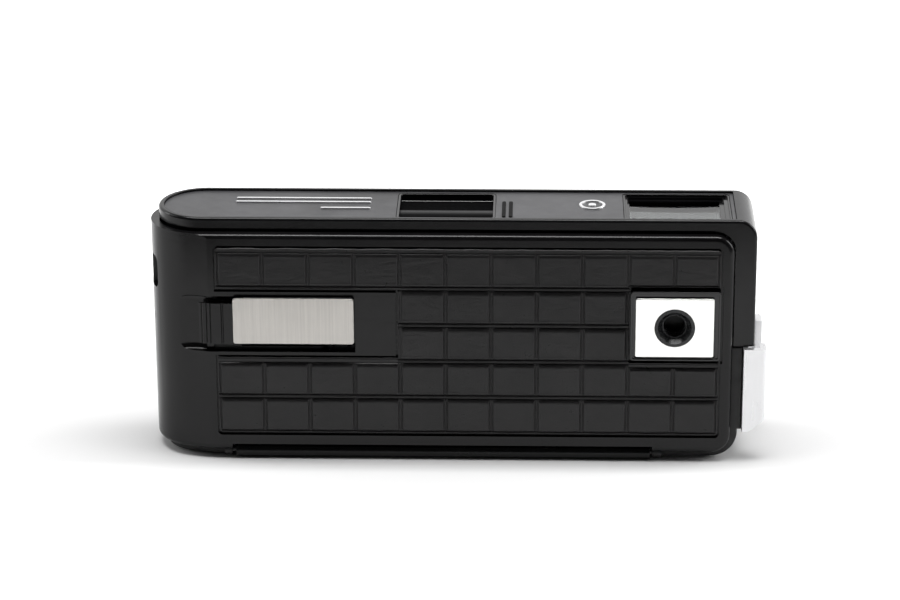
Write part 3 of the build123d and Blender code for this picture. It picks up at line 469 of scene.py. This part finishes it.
def ring_prism(name, outline, z0, z1, mat, bevel=0.07, inner=None, body="camera_body"):
    """A flat piece with a rounded upper edge from a plan outline (working mm), optional inner outline."""
    bm = bmesh.new()
    def loop(pts, z, off):
        n = len(pts)
        out = []
        for i, (x, y) in enumerate(pts):
            x0, y0 = pts[i - 1]
            x1, y1 = pts[(i + 1) % n]
            tx, ty = x1 - x0, y1 - y0
            L = math.hypot(tx, ty) or 1
            out.append(bm.verts.new(P(x - ty / L * off, y + tx / L * off, z)))
        return out
    steps = [(z0, 0.0), (z1 - bevel, 0.0), (z1 - bevel * 0.3, bevel * 0.3), (z1, bevel)]
    def wall(pts, sgn):
        ls = [loop(pts, z, sgn * o) for z, o in steps]
        for a_, b2 in zip(ls, ls[1:]):
            for i in range(len(pts)):
                j = (i + 1) % len(pts)
                bm.faces.new((a_[i], a_[j], b2[j], b2[i]))
        return ls[0], ls[-1]
    lo, hi = wall(outline, 1)
    if inner:
        lo2, hi2 = wall(inner, -1)
        n = len(outline)
        for i in range(n):
            j = (i + 1) % n
            bm.faces.new((hi[i], hi[j], hi2[j], hi2[i]))
            bm.faces.new((lo[i], lo2[i], lo2[j], lo[j]))
    else:
        bm.faces.new(hi)
        bm.faces.new(list(reversed(lo)))
    bmesh.ops.recalc_face_normals(bm, faces=bm.faces)
    me = bpy.data.meshes.new(name)
    bm.to_mesh(me)
    bm.free()
    o = bpy.data.objects.new(name, me)
    scene.collection.objects.link(o)
    me.materials.append(MATS[mat])
    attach(o, body)
    return o


def slot_outline(x0, x1, yc, half, n=8):
    pts = []
    for k in range(n + 1):
        a = -math.pi / 2 + math.pi * k / n
        pts.append((x1 - half + half * math.cos(a), yc + half * math.sin(a)))
    for k in range(n + 1):
        a = math.pi / 2 + math.pi * k / n
        pts.append((x0 + half + half * math.cos(a), yc + half * math.sin(a)))
    return pts


def circle(xc, yc, r, n=40, ky=1.0):
    return [(xc + r * math.cos(2 * math.pi * k / n), yc + ky * r * math.sin(2 * math.pi * k / n)) for k in range(n)]


PLATE_TOP = 54.9
for nm, xa, xb, yc in (("trim_line_1", -47.5, -17.6, 4.9), ("trim_line_2", -47.5, -17.6, 2.5), ("trim_line_3", -28.6, -17.6, -1.3)):
    ring_prism(nm, slot_outline(xa, xb, yc, 0.34), PLATE_TOP - 0.02, PLATE_TOP + 0.28, "silver_line")
ring_prism("round_mark_ring", circle(31.1, 1.6, 2.9), PLATE_TOP - 0.02, PLATE_TOP + 0.28, "silver_line", inner=circle(31.1, 1.6, 2.25))
ring_prism("round_mark_dot", circle(31.1, 1.6, 0.85, 24), PLATE_TOP - 0.02, PLATE_TOP + 0.28, "silver_line")

for nm, xc in (("relief_bar_1", 11.7), ("relief_bar_2", 13.2)):      # plain bars where the plate has raised black marks
    ol = list(reversed([(xc - 1.9 + y, x) for x, y in slot_outline(-6.6, 3.2, 1.9, 0.42)]))
    ring_prism(nm, ol, PLATE_TOP - 0.02, PLATE_TOP + 0.28, "relief_black")

# ------------------------------------------------------------------ thread in the tripod bush
TX, TZ, R0 = 49.2, 31.55, 2.60
pitch, y0, y1, nseg = 1.27, -11.0, -7.5, 48
verts, faces = [], []
turns = (y1 - y0) / pitch
N = int(turns * nseg)
prof = [(0.0, -0.50), (0.34, -0.08), (0.34, 0.08), (0.0, 0.50)]      # radius inwards, along the bore in pitches
for i in range(N + 1):
    a = 2 * math.pi * i / nseg
    y = y0 + pitch * i / nseg
    fade = min(1.0, i / 12.0, (N - i) / 12.0)
    for dr, dy in prof:
        r = R0 - dr * fade
        yy = min(max(y + dy * pitch, y0 - 0.1), y1 + 0.1)
        verts.append(P(TX + r * math.cos(a), yy, TZ + r * math.sin(a)))
m_ = len(prof)
for i in range(N):
    for k in range(m_):
        a_, b2 = i * m_ + k, i * m_ + (k + 1) % m_
        faces.append((a_, b2, b2 + m_, a_ + m_))
faces.append(tuple(range(m_)))
faces.append(tuple(N * m_ + k for k in range(m_)))
obj_from("tripod_thread", verts, faces, "black_bush", "camera_body")

# ------------------------------------------------------------------ springs: coiled wire pieces in place of the imported spring parts
def spring_piece(name, coils, r_mean, r_wire, length, turns, axis, body, nodename):
    """Round wire helix, one for each start point, along axis (working mm)."""
    ax = Vector(axis)
    e1 = Vector((1, 0, 0))
    e2 = ax.cross(e1)
    verts, faces = [], []
    n, k = int(turns * 28), 10
    for cx0, cy0, cz0 in coils:
        base = len(verts)
        for i in range(n + 1):
            a = 2 * math.pi * turns * i / n
            rad = e1 * math.cos(a) + e2 * math.sin(a)
            tan = ((e2 * math.cos(a) - e1 * math.sin(a)) * r_mean * 2 * math.pi * turns + ax * length).normalized()
            bi = tan.cross(rad).normalized()
            c = Vector((cx0, cy0, cz0)) + rad * r_mean + ax * (length * i / n)
            for q in range(k):
                w = 2 * math.pi * q / k
                v = c + (rad * math.cos(w) + bi * math.sin(w)) * r_wire
                verts.append(P(*v))
        for i in range(n):
            for q in range(k):
                u0, u1 = base + i * k + q, base + i * k + (q + 1) % k
                faces.append((u0, u1, u1 + k, u0 + k))
        faces.append(tuple(base + q for q in range(k)))
        faces.append(tuple(base + n * k + q for q in range(k)))
    o = obj_from(name, verts, faces, "spring_steel", body)
    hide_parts(nodename)
    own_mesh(o)
    return o


spring_piece("release_spring_coil", [(30.0, 10.6, 28.0)], 1.85, 0.2, 6.4, 5, (0, -1, 0), "camera_body", "release_spring")
spring_piece("pressure_spring_coils", [(-4.95, 0.9, 1.82), (3.05, 0.9, 1.82)], 1.6, 0.18, 1.85, 2, (0, 0, 1), "rear_door", "pressure_springs")

# ------------------------------------------------------------------ stage, lights, camera
me = bpy.data.meshes.new("studio_floor")
S = 3.0
me.from_pydata([(-S, -S, 0), (S, -S, 0), (S, S, 0), (-S, S, 0)], [], [(0, 1, 2, 3)])
floor = bpy.data.objects.new("studio_floor", me)
floor.location = (0, 0, -0.00005)
scene.collection.objects.link(floor)
fm, nt, b = new_mat("studio_floor")
fl = noise(nt, coords(nt), 3.0, 2.0)
sepf = nt.nodes.new("ShaderNodeSeparateXYZ")
tcf = nt.nodes.new("ShaderNodeTexCoord")
nt.links.new(tcf.outputs["Object"], sepf.inputs[0])
slant = add(nt, sepf.outputs["Y"], sepf.outputs["X"], 0.12)
front_painted_shade = maprange(nt, slant, 0.12, 0.90, -0.156, -0.126)          # painted shade: the floor's base colour turns dark in front of the object, standing in for the unlit room seen in reflections
tone = nt.nodes.new("ShaderNodeMath")
tone.operation = "MULTIPLY_ADD"
nt.links.new(fl, tone.inputs[0])
tone.inputs[1].default_value = 0.02
painted_shade_near = nt.nodes.new("ShaderNodeMath")                                            # painted shade: base colour a little darker right in front of the object
painted_shade_near.operation = "MULTIPLY"
nt.links.new(maprange(nt, sepf.outputs["Y"], 1.0, 0.84, -0.100, -0.035), painted_shade_near.inputs[0])
nt.links.new(front_painted_shade, painted_shade_near.inputs[1])
nt.links.new(painted_shade_near.outputs[0], tone.inputs[2])
nt.links.new(tone.outputs[0], b.inputs["Base Color"])
near = nt.nodes.new("ShaderNodeMath")                                           # painted light: the floor glows in front of the object, giving light from below, but not close to it, which paints a contact shadow there
near.operation = "MULTIPLY"
nt.links.new(maprange(nt, sepf.outputs["Y"], 1.0, 0.0, -0.0185, -0.0135), near.inputs[0])
nt.links.new(front_painted_shade, near.inputs[1])
painted_floor_glow = add(nt, maprange(nt, sepf.outputs["Y"], 0.0, 0.75, 0.03, 0.16), near.outputs[0], 0.13)     # painted light: the floor glows more toward the back
b.inputs["Emission Color"].default_value = (1, 1, 1, 1)
nt.links.new(painted_floor_glow, b.inputs["Emission Strength"])
b.inputs["Roughness"].default_value = 0.6
b.inputs["Specular IOR Level"].default_value = 0.25
floor.data.materials.append(fm)

world = bpy.data.worlds.new("studio")
scene.world = world
world.use_nodes = True
wn = world.node_tree
for n in list(wn.nodes):
    wn.nodes.remove(n)
wo = wn.nodes.new("ShaderNodeOutputWorld")
bg = wn.nodes.new("ShaderNodeBackground")
tc = wn.nodes.new("ShaderNodeTexCoord")
sep = wn.nodes.new("ShaderNodeSeparateXYZ")
wn.links.new(tc.outputs["Generated"], sep.inputs[0])


def wmap(sock, f0, f1, t0, t1):
    n = wn.nodes.new("ShaderNodeMapRange")
    n.interpolation_type = "SMOOTHSTEP"
    for k, v in zip(("From Min", "From Max", "To Min", "To Max"), (f0, f1, t0, t1)):
        n.inputs[k].default_value = v
    wn.links.new(sock, n.inputs["Value"])
    return n.outputs["Result"]


def wadd(a, b):
    n = wn.nodes.new("ShaderNodeMath")
    n.operation = "ADD"
    wn.links.new(a, n.inputs[0])
    wn.links.new(b, n.inputs[1])
    return n.outputs[0]


# white sweep behind the object, a darker room on the viewer's side, a light wall on the +X side
def wmul(a, b):
    n = wn.nodes.new("ShaderNodeMath")
    n.operation = "MULTIPLY"
    wn.links.new(a, n.inputs[0])
    wn.links.new(b, n.inputs[1])
    return n.outputs[0]


w = wadd(wmul(wmap(sep.outputs["Y"], -0.30, 0.30, 0.0, 1.05), wmap(sep.outputs["Z"], 0.50, 0.80, 1.0, 0.15)),
         wmap(sep.outputs["Z"], 0.80, 0.95, 0.03, 0.15))
w = wadd(w, wmap(sep.outputs["X"], 0.60, 0.95, 0.0, 0.30))
wn.links.new(w, bg.inputs["Strength"])
bg.inputs["Color"].default_value = (1, 1, 1, 1)
wn.links.new(bg.outputs["Background"], wo.inputs["Surface"])


def area(name, loc, target, size, power, size_y=None):
    l = bpy.data.lights.new(name, "AREA")
    l.energy = power
    l.shape = "RECTANGLE"
    l.size = size
    l.size_y = size_y or size
    o = bpy.data.objects.new(name, l)
    scene.collection.objects.link(o)
    o.location = loc
    d = Vector(target) - Vector(loc)
    o.rotation_mode = "QUATERNION"
    o.rotation_quaternion = d.to_track_quat("-Z", "Y")
    return o


area("top_softbox", (0.0, -0.02, 0.60), (0, -0.02, 0.0), 0.60, 4.0, 0.18)
area("right_softbox", (0.65, 0.10, 0.30), (0.05, 0, 0.04), 0.30, 1.9, 0.40)
area("left_softbox", (-0.65, 0.10, 0.30), (-0.05, 0, 0.04), 0.30, 1.0, 0.40)

F_PX, EL, AZ, ROLL, DIST = 3375.0, math.radians(21.41), math.radians(1.62), math.radians(-0.235), 0.737
TARGET = Vector(P(0.08, -11.9, 37.61))
back = Vector((math.sin(AZ) * math.cos(EL), -math.cos(AZ) * math.cos(EL), math.sin(EL)))
right = Vector((math.cos(AZ), math.sin(AZ), 0))
up = right.cross(-back)
r2 = right * math.cos(ROLL) + up * math.sin(ROLL)
u2 = -right * math.sin(ROLL) + up * math.cos(ROLL)
cam_data = bpy.data.cameras.new("camera")
cam_data.sensor_width = 36.0
cam_data.lens = F_PX / 25.0
cam_data.clip_start, cam_data.clip_end = 0.01, 20
cam = bpy.data.objects.new("camera", cam_data)
scene.collection.objects.link(cam)
cam.matrix_world = Matrix(((r2.x, u2.x, back.x, 0), (r2.y, u2.y, back.y, 0), (r2.z, u2.z, back.z, 0), (0, 0, 0, 1)))
cam.location = TARGET + back * DIST
scene.camera = cam
scene.view_settings.view_transform = "Standard"
scene.view_settings.look = "None"
